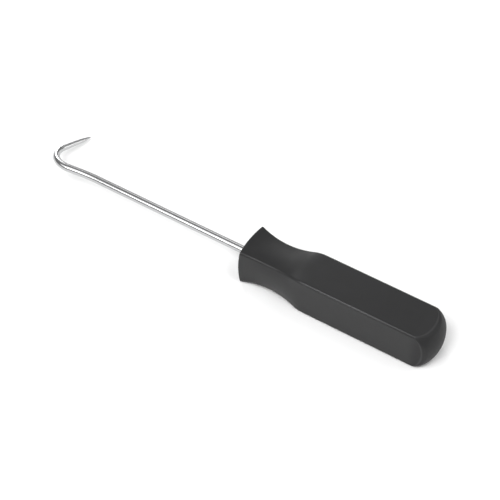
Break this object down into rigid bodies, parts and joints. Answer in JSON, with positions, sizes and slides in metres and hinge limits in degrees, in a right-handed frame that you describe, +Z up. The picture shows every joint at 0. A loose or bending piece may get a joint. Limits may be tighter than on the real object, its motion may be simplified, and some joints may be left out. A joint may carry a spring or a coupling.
{
  "type": "o-ring pick",
  "caption": "Hand pick for lifting seals: round steel shank with a ground hook, moulded into a square waisted plastic handle with a domed butt.",
  "frame": {"origin": "middle of the grip's flat underside, on the surface that the tool lies on", "axes": "+X along the shank toward the butt of the handle, +Z up from the surface, so the hook is at -X and points toward +Y"},
  "size_m": [0.1675, 0.0305, 0.016],
  "materials": {
    "steel": "polished",
    "plastic": "satin"
  },
  "bodies": {
    "root": {"shaft": "steel", "handle": "plastic"}
  },
  "joints": []
}
